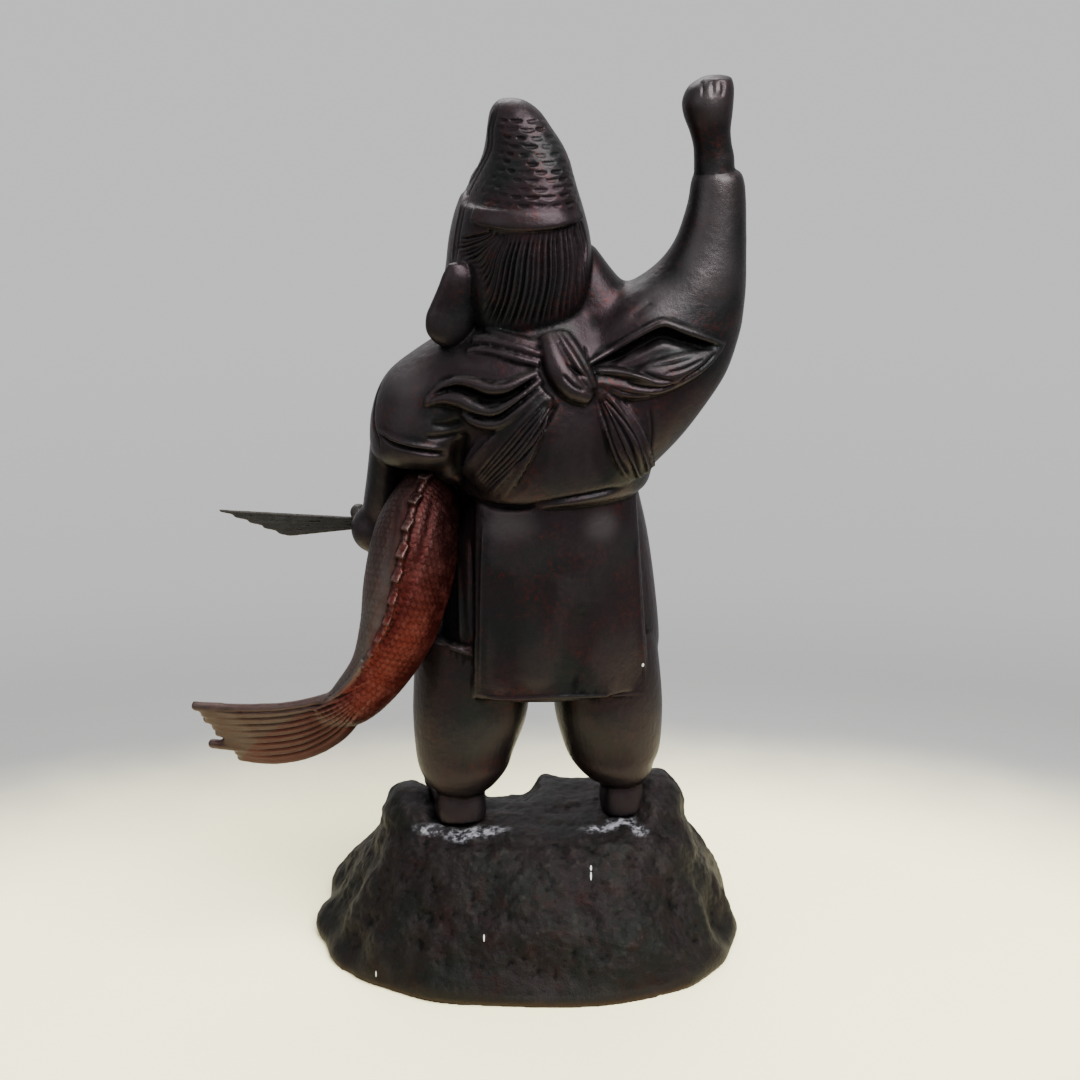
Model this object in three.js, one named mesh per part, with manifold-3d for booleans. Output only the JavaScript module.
import * as THREE from "three";
import { mergeVertices } from "three/addons/utils/BufferGeometryUtils.js";
import Module from "manifold-3d";

// A cast bronze Ebisu, the god of fishers, seen mostly from behind: he stands on a rock with his
// right fist raised and a red sea bream tucked under his left arm. Millimetres, +Z up, the origin
// on the middle of the rock's underside. He faces -Y, and his left is towards +X.

const wasm = await Module();
wasm.setup();

// Driving dimensions.
const ROCK_HALF_WIDTH = 111;
const ROCK_HALF_DEPTH = 94;
const ROCK_CORNER = 2.4;
const CASTING_GAP = 0.35;
const SLIVER = 0.16;
const WAIST_HEIGHT = 252;
const PANEL_REACH = 60;
const BODY_TURN = THREE.MathUtils.degToRad(10);
const HEAD_TURN = THREE.MathUtils.degToRad(30);
const HEAD_CENTRE = new THREE.Vector3(3, -10, 354);
const HAIR_LOCKS = 12;
const HAIR_RELIEF = 0.022;
const BACK_SPINES = 11;
const UP = new THREE.Vector3(0, 0, 1);
const FOREARM_BACK = new THREE.Vector3(0.2, 0.7, -0.7).normalize();

// How closely a curve keeps to the line between its stops, and how far outside the figure a ray
// starts that looks for its surface.
const CURVE_TENSION = 0.5;
const RAY_START = 300;

const bronze = new THREE.MeshStandardMaterial({ color: 0x2c2325, roughness: 0.42, metalness: 0.85 });
const redBronze = new THREE.MeshStandardMaterial({ color: 0x5a2a22, roughness: 0.45, metalness: 0.8 });
const dullBronze = new THREE.MeshStandardMaterial({ color: 0x2b2422, roughness: 0.6, metalness: 0.7 });

// Turns every face round when the closed surface is inside out.
function facingOut(geometry) {
  const at = geometry.attributes.position;
  const index = geometry.index.array;
  const a = new THREE.Vector3();
  const b = new THREE.Vector3();
  const c = new THREE.Vector3();
  let volume = 0;
  for (let i = 0; i < index.length; i += 3) {
    a.fromBufferAttribute(at, index[i]);
    b.fromBufferAttribute(at, index[i + 1]);
    c.fromBufferAttribute(at, index[i + 2]);
    volume += a.dot(b.cross(c));
  }
  if (volume > 0) return geometry;
  for (let i = 0; i < index.length; i += 3) {
    [index[i], index[i + 1]] = [index[i + 1], index[i]];
  }
  return geometry;
}

// A three.js geometry with its shared corners merged, as a solid that can be joined and cut.
function solid(geometry) {
  const bare = geometry.clone();
  bare.deleteAttribute("normal");
  bare.deleteAttribute("uv");
  const merged = facingOut(mergeVertices(bare, 1e-3));
  return new wasm.Manifold(
    new wasm.Mesh({
      numProp: 3,
      vertProperties: new Float32Array(merged.attributes.position.array),
      triVerts: new Uint32Array(merged.index.array),
    }),
  );
}

function geometryOf(made) {
  const mesh = made.getMesh();
  const geometry = new THREE.BufferGeometry();
  geometry.setAttribute("position", new THREE.BufferAttribute(mesh.vertProperties, 3));
  geometry.setIndex(new THREE.BufferAttribute(mesh.triVerts, 1));
  return geometry;
}

function joined(geometries) {
  return geometries.map(solid).reduce((whole, piece) => whole.add(piece));
}

function curveThrough(stops) {
  return new THREE.CatmullRomCurve3(stops, false, "catmullrom", CURVE_TENSION);
}

function middlesOf(sections) {
  return curveThrough(sections.map((s) => new THREE.Vector3(s[0], s[1], s[2])));
}

function halvesOf(sections, grow = 0) {
  return curveThrough(sections.map((s) => new THREE.Vector3(s[3] + grow, s[4] + grow, 0)));
}

// A coordinate of a superellipse: a corner of 2 gives an ellipse, a higher one a squarer outline.
function squared(value, corner) {
  return Math.sign(value) * Math.abs(value) ** (2 / corner);
}

// A smooth closed form through sections. A section is [x, y, z, half width, half depth]. Level
// sections lie flat, with their width turned about +Z. The others stand square to the line through
// their middles, with their depth towards `back`. `relief` raises the surface by a share of its
// radius, at an angle round the section and a share of the way along. `grow` makes the whole form
// thicker by that much, to cut its place out of a neighbour.
function form(sections, options = {}) {
  const { sides = 16, rows = 10, turn = 0, back = null, dome = [0, 0] } = options;
  const { relief = null, corner = 2, grow = 0 } = options;
  const middles = middlesOf(sections);
  const halves = halvesOf(sections, grow);
  const geometry = new THREE.SphereGeometry(1, sides, rows + 2);
  const at = geometry.attributes.position;
  const wide = new THREE.Vector3();
  const deep = new THREE.Vector3();
  for (let ring = 0; ring <= rows + 2; ring++) {
    const t = THREE.MathUtils.clamp((ring - 1) / rows, 0, 1);
    const pole = ring === 0 || ring === rows + 2;
    const middle = middles.getPoint(t);
    const half = halves.getPoint(t);
    const along = middles.getTangent(t);
    if (back) {
      deep.copy(back).addScaledVector(along, -back.dot(along)).normalize();
      wide.crossVectors(along, deep).normalize();
    } else {
      wide.set(Math.cos(turn), Math.sin(turn), 0);
      deep.set(-Math.sin(turn), Math.cos(turn), 0);
    }
    for (let i = 0; i <= sides; i++) {
      const angle = (2 * Math.PI * (i % sides)) / sides;
      const lift = pole ? 0 : 1 + (relief ? relief(angle, t) : 0);
      const point = middle
        .clone()
        .addScaledVector(wide, half.x * lift * squared(Math.cos(angle), corner))
        .addScaledVector(deep, half.y * lift * squared(Math.sin(angle), corner));
      if (ring <= 1) point.addScaledVector(along, -grow);
      if (ring >= rows + 1) point.addScaledVector(along, grow);
      if (ring === 0) point.addScaledVector(along, -dome[0]);
      if (ring === rows + 2) point.addScaledVector(along, dome[1]);
      at.setXYZ(ring * (sides + 1) + i, point.x, point.y, point.z);
    }
  }
  return geometry;
}

// The same with level sections given from below as [z, x, y, half width, half depth].
function level(sections, options) {
  return form(
    sections.map(([z, x, y, a, b]) => [x, y, z, a, b]),
    options,
  );
}

// Where a level line along Y from behind (side 1) or from the front (side -1) meets a form.
function surfaceAt(mesh, x, z, side) {
  const ray = new THREE.Raycaster(
    new THREE.Vector3(x, side * RAY_START, z),
    new THREE.Vector3(0, -side, 0),
  );
  const hits = ray.intersectObject(mesh);
  if (!hits.length) throw new Error(`no surface at x ${x}, z ${z}`);
  return hits[0].point.y;
}

function hittable(made) {
  return new THREE.Mesh(geometryOf(made), new THREE.MeshStandardMaterial({ side: THREE.DoubleSide }));
}

// A band of cloth laid on a form: [x, z, half width, half thickness] at each place, its middle
// sunk by `sink` so that it grows out of the surface.
function strand(mesh, places, options = {}) {
  const { side = 1, sink = 0, sides = 6, rows = 8, relief = null, dome = [1, 1] } = options;
  const sections = places.map(([x, z, a, b]) => {
    const y = surfaceAt(mesh, x, z, side) - side * sink;
    return [x, y, z, a, b];
  });
  return form(sections, { sides, rows, relief, dome, back: new THREE.Vector3(0, side, 0) });
}

// A thin web such as a fin: four corners, root first, the tips after, with ridges for its rays and
// a scalloped free edge. It thins to `edge` of its thickness at the tips and bellies out by `bulge`.
function web(root, tip, options = {}) {
  const { thick = 2, rays = 6, ridge = 0.35, scallop = 0, steps = 4, bulge = 0, edge = 0.55 } = options;
  const across = rays * 2;
  const geometry = new THREE.BoxGeometry(1, 1, 1, steps, across, 1);
  const at = geometry.attributes.position;
  const normal = new THREE.Vector3()
    .subVectors(tip[0], root[0])
    .cross(new THREE.Vector3().subVectors(tip[1], tip[0]))
    .normalize();
  for (let i = 0; i < at.count; i++) {
    const u = at.getX(i) + 0.5;
    const v = at.getY(i) + 0.5;
    const wave = Math.cos(2 * Math.PI * rays * v);
    const reach = u * (1 - scallop * (0.5 + 0.5 * wave) * u);
    const near = root[0].clone().lerp(root[1], v);
    const far = tip[0].clone().lerp(tip[1], v);
    const half = at.getZ(i) * thick * (1 - ridge * wave) * THREE.MathUtils.lerp(1, edge, u);
    const point = near.lerp(far, reach);
    point.addScaledVector(normal, half + bulge * Math.sin(Math.PI * reach));
    at.setXYZ(i, point.x, point.y, point.z);
  }
  return geometry;
}

function ball(x, y, z, a, b, c, turn = 0, sides = 12, rows = 8) {
  return new THREE.SphereGeometry(1, sides, rows)
    .rotateX(Math.PI / 2)
    .scale(a, b, c)
    .rotateZ(turn)
    .translate(x, y, z);
}

const SKIRT = [
  [154, -10.5, 0, 57.6, 40],
  [166, -10.5, 0, 58, 40],
  [194, -11, 0, 54.5, 38],
  [220, -12, 0, 49.5, 36],
  [242, -13, 0, 43.5, 33],
  [250, -13, 0, 42, 32],
];

// The robe: a stiff skirt under a fuller blouse, the belly pushed out in front, and the cloth that
// fills the left armpit.
function robe(grow = 0) {
  const blouse = [
    [243, -13, 0, 43, 33],
    [247, -13, 0, 48.5, 39],
    [257, -13, 0, 50.5, 42],
    [270, -11, -1, 53, 44],
    [286, -9, -1, 56, 44],
    [302, -8, -1, 57, 41],
    [316, -8, -2, 51, 36],
    [328, -8, -5, 38, 30],
    [340, -7, -8, 26, 24],
  ];
  const belly = [
    [246, -9, -12, 34, 28],
    [254, -8, -14, 41, 35],
    [270, -7, -14, 44, 37],
    [288, -6, -11, 43, 34],
    [308, -6, -6, 36, 27],
  ];
  const armpit = ball(39, 6, 263, 13 + grow, 17 + grow, 15 + grow, 0, 8, 6);
  return [
    level(SKIRT, { sides: 18, rows: 3, turn: BODY_TURN, grow }),
    level(blouse, { sides: 18, rows: 6, turn: BODY_TURN, grow }),
    level(belly, { sides: 10, rows: 3, turn: BODY_TURN, grow }),
    armpit,
  ];
}

// A panel of the robe's skirt that hangs `proud` of it: the skirt a little larger, cut to an
// outline. `low` holds the x of its left and right edge at the hem, `high` the same at the waist.
function panel({ low, high, hem, proud, side }) {
  const sections = SKIRT.map(([z, x, y, a, b]) => [z, x, y, a + proud, b + proud]);
  sections[0][0] = hem;
  sections[sections.length - 1][0] = WAIST_HEIGHT;
  const grown = level(sections, { sides: 18, rows: 3, turn: BODY_TURN });
  const outline = new THREE.Shape([
    new THREE.Vector2(low[0], hem - 1),
    new THREE.Vector2(low[1], hem - 1),
    new THREE.Vector2(high[1], WAIST_HEIGHT + 1),
    new THREE.Vector2(high[0], WAIST_HEIGHT + 1),
  ]);
  const innerEdge = 6;
  const slab = new THREE.ExtrudeGeometry(outline, { depth: PANEL_REACH, bevelEnabled: false })
    .rotateX(Math.PI / 2)
    .translate(0, side > 0 ? innerEdge + PANEL_REACH : -innerEdge, 0);
  return geometryOf(solid(grown).intersect(solid(slab)));
}

// Two bags, widest at the knee and gathered in at the ankle.
function trousers(grow = 0) {
  const left = [
    [82, 34.5, 17, 11.5, 12],
    [86, 34.5, 17, 13.5, 14],
    [89.5, 34.2, 16.5, 17.8, 17],
    [97, 33.2, 14, 23, 22],
    [106, 32.5, 12, 25.5, 24.5],
    [122, 30, 9, 29.2, 28],
    [139, 28.6, 7, 30.3, 29],
    [170, 26, 4, 31, 30],
  ];
  const right = [
    [83, -49, 8, 10.5, 11.5],
    [87, -48.5, 8, 12.5, 13.5],
    [90.5, -47, 7, 17.2, 17.5],
    [96.5, -45, 5, 21.2, 22],
    [104, -44.3, 3, 24.8, 24.5],
    [121, -42.4, 1, 27.8, 28],
    [138, -41.2, 0, 28.3, 29],
    [170, -38, -2, 28, 30],
  ];
  return [left, right].map((leg) => level(leg, { sides: 12, rows: 6, turn: BODY_TURN, grow }));
}

// Boots with a low square heel and a long blunt toe.
function shoes(grow = 0) {
  const leftHeel = [
    [72, 35, 19.5, 13, 13.5],
    [77, 35, 19, 13.2, 13.5],
    [84, 34.6, 18, 12.2, 13],
    [89, 34.4, 17, 11, 12],
  ];
  const rightHeel = [
    [72, -49.5, 10.5, 11, 13],
    [77, -49.5, 10, 11.4, 13],
    [85, -49.2, 9, 10.6, 12.5],
    [90, -48.8, 8, 9.8, 11.5],
  ];
  const leftToe = [
    [35.5, 18, 80, 13, 8.5],
    [39, 2, 80, 13, 8],
    [43, -12, 78, 12.5, 6.5],
    [45, -21, 77, 9, 4.5],
  ];
  const rightToe = [
    [-49, 9, 80, 11.5, 8.5],
    [-51, -5, 80, 12.5, 8],
    [-53.5, -17, 78, 12, 6.5],
    [-55, -25, 77, 9, 4.5],
  ];
  const heel = { sides: 10, rows: 2, corner: 3, turn: BODY_TURN, grow };
  const toe = { sides: 8, rows: 3, back: UP, dome: [2, 5], grow };
  return [level(leftHeel, heel), level(rightHeel, heel), form(leftToe, toe), form(rightToe, toe)];
}

// The raised arm: a wide sleeve that climbs to the wrist, the fist, and the cloth at the neck.
function rightArm() {
  const sleeve = [
    [257, -32, -1, 30.6, 36],
    [272, -40, -2, 37.5, 36.5],
    [288, -47, -3, 42.7, 36],
    [304, -54, -4, 45.8, 34],
    [320, -60, -5, 45.1, 31],
    [328, -64.3, -5, 42.6, 29],
    [336, -69, -6, 38.8, 27],
    [343, -75, -6, 33.3, 24],
    [350, -81.5, -6, 27, 22],
    [357, -85.9, -6, 22.4, 20],
    [364, -88.7, -6, 19.4, 18],
    [372, -90.8, -6, 17.2, 16.5],
    [388, -92.9, -6, 14.6, 14.5],
    [400, -93, -6, 13.2, 12.9],
    [404.5, -93, -6, 11.4, 11.2],
  ];
  const fist = [
    [398, -91.5, -6, 10, 10],
    [409, -91, -6, 9.9, 10],
    [416, -90, -6, 9.5, 9.6],
    [423, -88.6, -6, 10.1, 10.4],
    [430, -87.5, -6, 11.8, 12],
    [437, -87.3, -6, 12.5, 13],
    [444, -88.8, -6, 11, 11.5],
    [448.5, -91.5, -6, 7, 8],
  ];
  const collar = [
    [330, -36, -9, 26, 22],
    [343, -33, -9, 18.5, 18],
    [355, -28.5, -9, 13, 14],
    [367, -26, -9, 7, 8],
  ];
  return [
    level(sleeve, { sides: 14, rows: 10 }),
    level(fist, { sides: 10, rows: 6, dome: [0, 1.5] }),
    level(collar, { sides: 10, rows: 3 }),
  ];
}

// The sleeve that is tied up into a puff, and the forearm below it, bent round the fish.
function leftArm(grow = 0) {
  const puff = [
    [259, 53.5, 2, 19, 20],
    [263, 52.5, 2, 25, 25],
    [268, 51.5, 2, 27.6, 28],
    [274, 50.5, 2, 28.4, 29],
    [281, 48.5, 2, 30, 29.5],
    [289, 45.5, 1, 31.3, 29],
    [297, 42, 0, 32, 28],
    [305, 37.5, -1, 31, 26],
    [313, 31, -2, 27, 23],
    [320, 26, -3, 21.5, 19],
    [326, 20, -3, 18, 16],
  ];
  const arm = [
    [68, -2, 270, 10.5, 15],
    [70, -6, 250, 11, 15],
    [72, -10, 230, 12, 15],
    [73, -17, 214, 12.5, 14],
    [69, -32, 198, 11, 12],
    [61, -48, 185, 10.5, 10.5],
    [51, -60, 176, 11, 8],
    [41, -65, 176, 10, 6],
  ];
  const elbow = ball(78, -9, 219, 12.5 + grow, 13 + grow, 12 + grow, 0, 10, 6);
  return [
    level(puff, { sides: 14, rows: 7, grow }),
    form(arm, { sides: 8, rows: 8, back: FOREARM_BACK, dome: [2, 3], grow }),
    elbow,
  ];
}

// A place on the head, from its middle: forwards, to its own left, and up.
function onHead(forward, left, up) {
  return new THREE.Vector3(
    HEAD_CENTRE.x + forward * Math.sin(HEAD_TURN) + left * Math.cos(HEAD_TURN),
    HEAD_CENTRE.y - forward * Math.cos(HEAD_TURN) + left * Math.sin(HEAD_TURN),
    HEAD_CENTRE.z + up,
  );
}

// Hair combed down to the nape, in locks round the back of the head only.
function locks(angle, t) {
  const behind = Math.max(0, Math.sin(angle));
  const underCap = t > 0.75;
  return underCap ? 0 : HAIR_RELIEF * Math.sqrt(behind) * Math.cos(HAIR_LOCKS * angle);
}

function head() {
  const skull = [
    [317, 4, -8, 17, 19],
    [322, 4, -8, 23.5, 26],
    [329, 3.5, -9, 28.5, 32],
    [338, 3, -10, 32, 36.5],
    [350, 3, -10, 34, 39],
    [362, 3, -10, 33.8, 39],
    [374, 3, -9.5, 32.5, 37],
    [388, 3, -9, 29, 33],
  ];
  const cheeks = [
    [331, 6, -16, 27, 24],
    [338, 7, -17, 33.5, 29],
    [345, 7.5, -17, 35.2, 31],
    [356, 7, -17, 34, 31],
    [368, 7, -17, 32.5, 30],
    [380, 6.5, -17, 30, 29],
    [390, 6, -17, 26.5, 27],
  ];
  const band = [
    [379, 2.5, -8, 30, 34],
    [381.5, 2.5, -8, 31.6, 36],
    [387, 2.5, -8, 30.6, 35],
    [390, 2.5, -8, 27, 32],
  ];
  const cap = [
    [386, 2, -9, 27, 36],
    [395, 1.6, -9, 24, 33],
    [402, 1, -9, 21.6, 30],
    [410, 0.5, -9, 19.3, 26],
    [417, 1.5, -10, 17, 23],
    [424, 3.5, -10, 14.6, 19],
    [431, 5.4, -11, 11.8, 15],
    [435.5, 6.8, -11, 8, 10],
    [437.6, 7.6, -11, 4, 5],
  ];
  const fold = [
    [382, 12, -27, 20, 19],
    [390, 12, -27, 18, 18],
    [398, 13, -27, 14.5, 14],
    [405, 15, -27, 7, 7],
  ];
  const leftEar = [
    [318.5, 39.5, 9, 7.5, 4.5],
    [323, 39, 9, 12, 6],
    [329, 38.5, 9, 13, 6.5],
    [336, 36, 9, 11.6, 6],
    [342, 34, 9, 9.6, 5.5],
    [350, 32, 9, 6.8, 5],
    [356, 31.5, 9, 6, 4.5],
    [361, 30, 9, 3.5, 3],
  ];
  const earRoot = 32.4;
  const otherSide = onHead(0, -34, 0);
  const rightEar = leftEar.map(([z, x, , a, b]) => {
    const out = x - earRoot;
    return [z, otherSide.x - 0.8 * out, otherSide.y - 0.5 * out, a, b];
  });
  return [
    level(skull, { sides: 2 * HAIR_LOCKS, rows: 6, turn: HEAD_TURN, relief: locks }),
    level(cheeks, { sides: 10, rows: 4, turn: HEAD_TURN }),
    level(band, { sides: 16, rows: 2, turn: HEAD_TURN }),
    level(cap, { sides: 14, rows: 6, turn: HEAD_TURN }),
    level(fold, { sides: 8, rows: 3, turn: HEAD_TURN }),
    level(leftEar, { sides: 8, rows: 5, turn: 0.2 }),
    level(rightEar, { sides: 6, rows: 3, turn: HEAD_TURN }),
  ];
}

// A calm, rounded, smiling face: brows, nose, cheeks, lips and chin from the head's own radius.
function face() {
  const feature = (forward, left, up, a, b, c) => {
    const at = onHead(forward, left, up);
    return ball(at.x, at.y, at.z, a, b, c, HEAD_TURN, 6, 4);
  };
  const nose = feature(39, 0, -3, 5, 5, 7);
  const chin = feature(33, 0, -29, 10, 8, 7);
  const lips = feature(37.5, 0, -16, 8, 3.5, 2.6);
  const pairs = [-1, 1].flatMap((side) => [
    feature(31, side * 15, -11, 10.5, 8, 9),
    feature(36, side * 11, 8, 8, 4, 3.2),
    feature(37.5, side * 4, -6, 3.2, 3.6, 3),
  ]);
  return [nose, chin, lips, ...pairs];
}

// The sleeves are tied back with a cloth, knotted between the shoulders: two loops and two tails.
function tiedCloth(mesh) {
  const knotLeft = [
    [-10, 331, 5, 5],
    [-12.5, 323.5, 6, 7],
    [-17, 313.5, 7.5, 8],
    [-23, 305, 7, 7.5],
    [-30, 300, 4, 5],
  ];
  const knotRight = [
    [-16, 332, 4, 5.5],
    [-21, 324, 4.5, 7.4],
    [-27, 315, 4.5, 7.8],
    [-32, 305, 3.5, 6],
  ];
  const leftRidge = [
    [-7, 313.5, 2, 3],
    [3, 309.5, 2.8, 3.8],
    [10, 306, 3.3, 4.6],
    [18, 305.5, 3.5, 4.8],
    [26, 308, 3, 4.4],
    [34, 309, 2.6, 3.8],
    [42, 305.5, 2.4, 3.2],
    [49, 300, 1.4, 2],
  ];
  const leftRoll = [
    [-7, 310, 2.4, 3],
    [3, 301, 2.8, 4],
    [11, 295.5, 3.2, 4.4],
    [18, 294, 3.6, 4.6],
    [25, 296.5, 4, 4.8],
    [32, 300, 4.2, 5],
    [40, 300.5, 3.2, 4.2],
    [49, 298, 1.4, 2],
  ];
  const leftUnder = [
    [-8, 305.5, 3.4, 3],
    [3, 296, 3.4, 3.4],
    [11, 289.5, 3.2, 3.8],
    [18, 288, 3, 3.8],
    [25, 290, 2.8, 3.6],
    [31, 293.5, 1.8, 2.5],
  ];
  const rightRidge = [
    [-29, 316.5, 1.8, 2.4],
    [-41, 323.5, 2.2, 3],
    [-52, 330, 2.6, 3.8],
    [-63, 336, 2.8, 4.2],
    [-69, 336, 2.8, 4.2],
    [-76, 333.5, 2.8, 3.8],
    [-85, 330, 2.4, 3],
    [-94.5, 326, 1.4, 2],
  ];
  const rightLeaf = [
    [-33, 309, 3.5, 3.5],
    [-48, 306, 7, 5],
    [-61, 310, 9, 6],
    [-74, 315.5, 8.5, 6],
    [-85, 320.5, 6, 4.5],
    [-94, 325, 2, 2],
  ];
  const rightTongue = [
    [-32, 314, 2, 4],
    [-43.5, 313, 3, 7],
    [-55, 310.5, 2.4, 7.6],
    [-64, 307, 1.2, 6],
  ];
  const leftTail = [
    [-11, 303, 3.5, 3],
    [-4, 293.5, 7, 3.6],
    [4, 282, 10, 3.2],
    [13, 271, 12.5, 3],
    [20.5, 261, 13, 2.4],
  ];
  const rightTail = [
    [-34.5, 306.5, 3.5, 3],
    [-40, 297, 6.5, 3.6],
    [-46, 284.5, 9, 3.4],
    [-51, 273, 9.5, 3.6],
    [-55, 264.5, 8, 3.6],
  ];
  const neckUpper = [
    [-7.5, 325, 2.4, 3],
    [3, 327.5, 2.6, 3.2],
    [19, 332, 2.2, 2.4],
  ];
  const neckLower = [
    [-6.5, 319, 3.4, 3.2],
    [4, 321.5, 3.8, 3.4],
    [16, 325, 3.4, 3],
    [27, 325.5, 2.6, 2.4],
  ];
  const collar = [
    [-14, 325, 2, 2],
    [-23, 329, 2.8, 3],
    [-30, 335, 3.2, 3.4],
    [-34, 342, 3.2, 3.2],
    [-33.5, 350, 2.4, 2.4],
  ];
  const tailPleats = (angle) => 0.12 * Math.cos(4 * angle);
  return [
    strand(mesh, knotLeft, { sides: 8, rows: 4 }),
    strand(mesh, knotRight, { rows: 3 }),
    strand(mesh, leftRidge, { sides: 5, rows: 6 }),
    strand(mesh, leftRoll, { sides: 5, rows: 6 }),
    strand(mesh, leftUnder, { sides: 5, rows: 4 }),
    strand(mesh, rightRidge, { sides: 5, rows: 6 }),
    strand(mesh, rightLeaf, { rows: 5, sides: 8, sink: 1 }),
    strand(mesh, rightTongue, { sides: 5, rows: 3 }),
    strand(mesh, leftTail, { rows: 2, sides: 16, sink: 1, relief: tailPleats }),
    strand(mesh, rightTail, { rows: 2, sides: 16, sink: 1, relief: tailPleats }),
    strand(mesh, neckUpper, { sides: 5, rows: 2 }),
    strand(mesh, neckLower, { sides: 5, rows: 2 }),
    strand(mesh, collar, { sides: 5, rows: 4 }),
  ];
}

// The front, plainer: crossed lapels, a sash with its knot and the cloth's bands under the arms.
function front(mesh) {
  const over = [
    [-26, 318, 4, 3],
    [-14, 300, 5, 3],
    [2, 276, 5, 3],
    [14, 256, 5, 3],
  ];
  const under = [
    [16, 320, 4, 3],
    [6, 303, 5, 3],
    [-3, 290, 4.5, 3],
  ];
  const sash = level(
    [
      [240, -12, -1, 42, 34],
      [242, -12, -1, 46, 38],
      [250, -12, -1, 46, 38],
      [252, -12, -1, 42, 34],
    ],
    { sides: 16, rows: 3, turn: BODY_TURN },
  );
  const bow = ball(-2, -43, 243, 8, 6, 6, 0, 10, 6);
  return [
    strand(mesh, over, { side: -1, rows: 6 }),
    strand(mesh, under, { side: -1, rows: 4 }),
    sash,
    bow,
  ];
}

const BREAM = [
  [118, 32, 125, 4, 18],
  [102, 34, 130, 6.5, 16.5],
  [88, 35, 142.5, 10, 15.5],
  [74, 33, 158, 13.8, 20],
  [65, 30, 178, 18, 25],
  [60, 24, 200, 21, 29],
  [54.5, 13, 221, 21, 31.5],
  [48, -4, 229, 16, 33],
  [49, -24, 225, 17, 35],
  [54, -44, 217, 20, 37],
  [56, -62, 207, 19, 32],
  [58, -77, 197, 14, 21],
  [59, -88, 190, 6, 9],
];
const BREAM_BACK = new THREE.Vector3(0.2, 0.7, 0.7).normalize();

// At a share of the bream's length from its tail: where its middle is, which way it heads, which
// way its back and its left flank lie, and its half sizes there.
function breamAt(t) {
  const middles = middlesOf(BREAM);
  const along = middles.getTangent(t);
  const deep = BREAM_BACK.clone().addScaledVector(along, -BREAM_BACK.dot(along)).normalize();
  const wide = new THREE.Vector3().crossVectors(deep, along).normalize();
  return { middle: middles.getPoint(t), along, deep, wide, half: halvesOf(BREAM).getPoint(t) };
}

// A place on the bream: towards its back and out to its left flank, as shares of its half sizes.
function onBream(t, up, out) {
  const { middle, deep, wide, half } = breamAt(t);
  return middle.addScaledVector(deep, half.y * up).addScaledVector(wide, half.x * out);
}

// The spines of the back fin, folded down into a row of square blocks that shrink to the tail.
function backFin() {
  return Array.from({ length: BACK_SPINES }, (_, i) => {
    const share = i / (BACK_SPINES - 1);
    const { middle, along, deep, wide, half } = breamAt(0.2 + 0.38 * share);
    const width = 3 + 3.2 * share;
    const length = 5 + 2 * share;
    const height = 6 + 2.5 * share;
    middle.addScaledVector(deep, half.y + 1 + 0.8 * share - height / 2);
    const lean = deep.clone().addScaledVector(along, 0.25).normalize();
    const ahead = new THREE.Vector3().crossVectors(wide, lean);
    const stance = new THREE.Matrix4().makeBasis(wide, lean, ahead).setPosition(middle);
    return new THREE.BoxGeometry(width, height, length).applyMatrix4(stance);
  });
}

function bream() {
  const trunk = form(BREAM, { sides: 12, rows: 13, back: BREAM_BACK, dome: [1, 2] });
  const v = (x, y, z) => new THREE.Vector3(x, y, z);
  const tail = web(
    [v(101, 44, 143), v(98, 24, 115)],
    [v(169, 41, 143), v(151, 16, 101)],
    { rays: 7, thick: 3.2, ridge: 0.3, scallop: 0.05, steps: 3, bulge: 2 },
  );
  const tailStub = [
    [132, 23, 111, 2.2, 2.2],
    [148, 24, 112, 2.8, 2.8],
    [163, 25, 114, 2.6, 2.8],
  ];
  const pectoral = web(
    [v(86, -34, 216.5), v(86, -34, 210.5)],
    [v(161.5, -36, 220), v(126, -34, 206)],
    { rays: 5, thick: 2.2, ridge: 0.25, scallop: 0.06, steps: 2 },
  );
  const finKnob = ball(88, -32, 220, 4.5, 5, 4.5, 0, 6, 4);
  const ridgeLine = [0.08, 0.14, 0.2, 0.27].map((t) => [...onBream(t, 0.96, 0).toArray(), 1.8, 2.4]);
  const ridge = form(ridgeLine, { sides: 6, rows: 4, back: BREAM_BACK });
  const eyes = [-1, 1].map((side) => {
    const at = onBream(0.93, 0.3, side * 0.9);
    return ball(at.x, at.y, at.z, 4.5, 4.5, 4.5, 0, 8, 4);
  });
  const shoulder = ball(78, -36, 213, 10, 8, 9, 0, 10, 6);
  return joined([
    trunk,
    tail,
    form(tailStub, { sides: 6, rows: 2, back: UP, dome: [1, 1.5] }),
    pectoral,
    finKnob,
    ridge,
    shoulder,
    ...eyes,
    ...backFin(),
  ]);
}

// The rock's roughness: sine waves, a bulge low on the rear right and steep ridges up its ends.
function roughness(angle, t) {
  const waves = 0.018 * Math.sin(5 * angle + 9 * t) + 0.014 * Math.sin(11 * angle - 6 * t + 1);
  const rearRight = 0.035 * Math.exp(-(((angle - 2.2) / 0.5) ** 2)) * (1 - t);
  const ridges = 0.012 * Math.sin(17 * angle) * Math.cos(angle) ** 2;
  return (waves + ridges) * Math.sin(Math.PI * Math.min(1, t * 1.15 + 0.08)) + rearRight;
}

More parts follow.
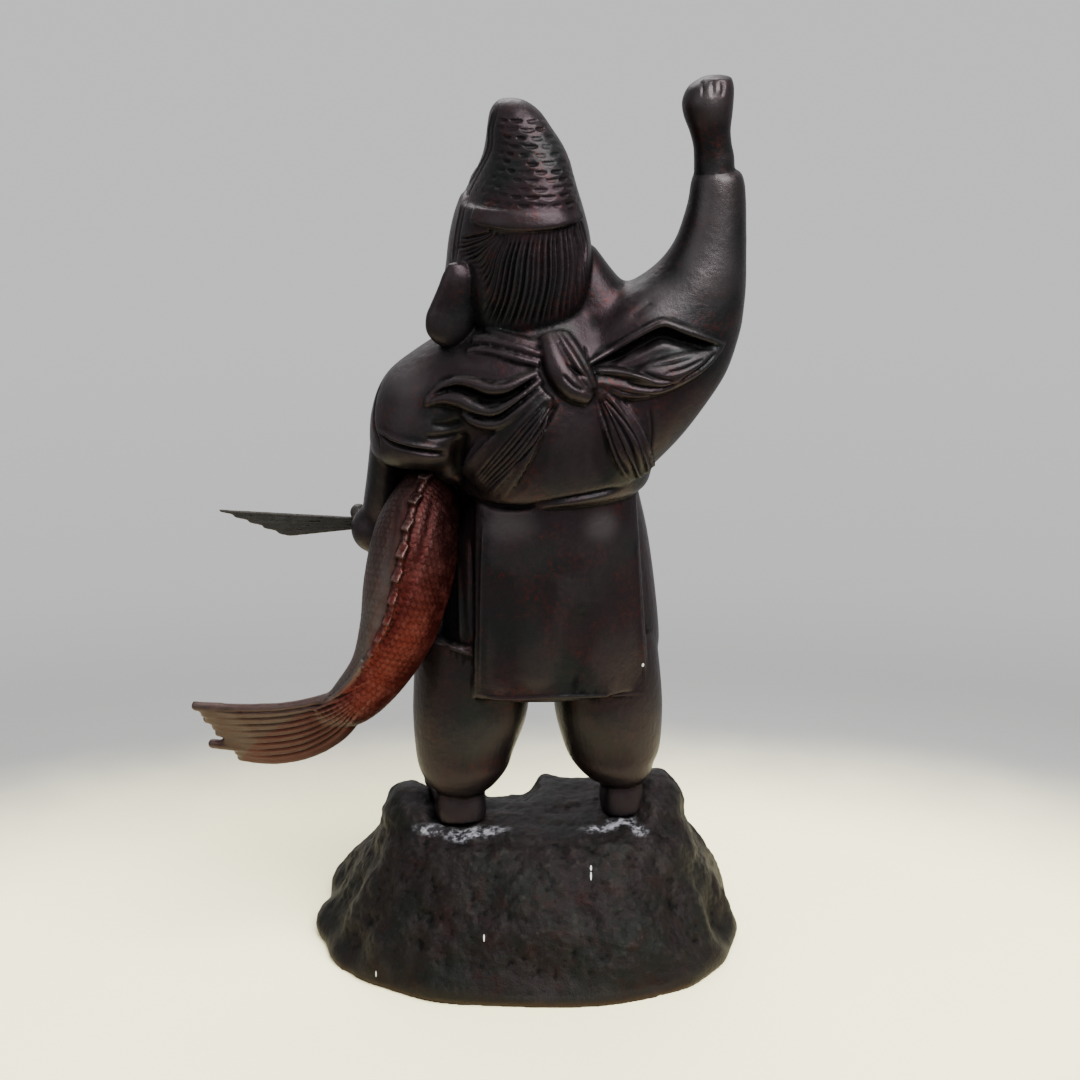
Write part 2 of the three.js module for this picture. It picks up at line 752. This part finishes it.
// Rounded-rectangular rings from the rim up to the platform, with a raised rim beyond each foot and
// a gully between the feet that falls away in front.
function rock() {
  const rings = [
    [0, 1, 1, 0, 0],
    [7, 0.985, 0.99, 0, 0],
    [16, 0.93, 0.945, -1, 0],
    [32, 0.855, 0.85, -2, 1],
    [50, 0.76, 0.69, -3.5, 3],
    [63, 0.7, 0.54, -4, 5.5],
    [70, 0.62, 0.38, -4, 7.5],
  ];
  const sections = rings.map(([z, a, b, x, y]) => {
    return [z, x, y, ROCK_HALF_WIDTH * a, ROCK_HALF_DEPTH * b];
  });
  const mound = level(sections, {
    sides: 32,
    rows: 7,
    corner: ROCK_CORNER,
    relief: roughness,
    dome: [0, 2.5],
  });
  const leftRim = ball(60, 4, 61, 17, 30, 20, 0.2, 10, 8);
  const leftShoulder = ball(66, 14, 48, 14, 22, 16, 0.2, 8, 6);
  const rightRim = ball(-66, 0, 62, 16, 32, 23, -0.1, 10, 8);
  const gully = form(
    [
      [7, 10, 84, 13, 9],
      [9, -8, 79, 17, 14],
      [11, -26, 72, 17, 15],
      [13, -46, 63, 16, 15],
      [15, -68, 47, 15, 12],
      [16, -86, 27, 10, 6],
    ],
    { sides: 10, rows: 6, back: UP, dome: [4, 2] },
  );
  return joined([mound, leftRim, leftShoulder, rightRim]).subtract(solid(gully));
}

const forms = joined([...robe(), ...rightArm(), ...leftArm(), ...head()]);
const surface = hittable(forms);
const backPanel = panel({ low: [-62, 26.8], high: [-54, 25.5], hem: 144, proud: 2.5, side: 1 });
const frontPanel = panel({ low: [-30, 18], high: [-22, 10], hem: 146, proud: 3, side: -1 });
const figure = forms.add(
  joined([
    ...trousers(),
    ...shoes(),
    ...face(),
    ...tiedCloth(surface),
    ...front(surface),
    backPanel,
    frontPanel,
  ]),
);

// A casting with its slivers removed: no point moves by more than SLIVER, well under the gap.
function named(name, made, material) {
  const mesh = new THREE.Mesh(geometryOf(made.simplify(SLIVER)), material);
  mesh.name = name;
  return mesh;
}

const group = new THREE.Group();
const shoePrints = joined([...trousers(CASTING_GAP), ...shoes(CASTING_GAP)]);
const embrace = joined([...robe(CASTING_GAP), ...leftArm(CASTING_GAP), ...trousers(CASTING_GAP)]);
group.add(named("rock_base", rock().subtract(shoePrints), dullBronze));
group.add(named("ebisu_figure", figure, bronze));
group.add(named("sea_bream", bream().subtract(embrace), redBronze));

export default group;
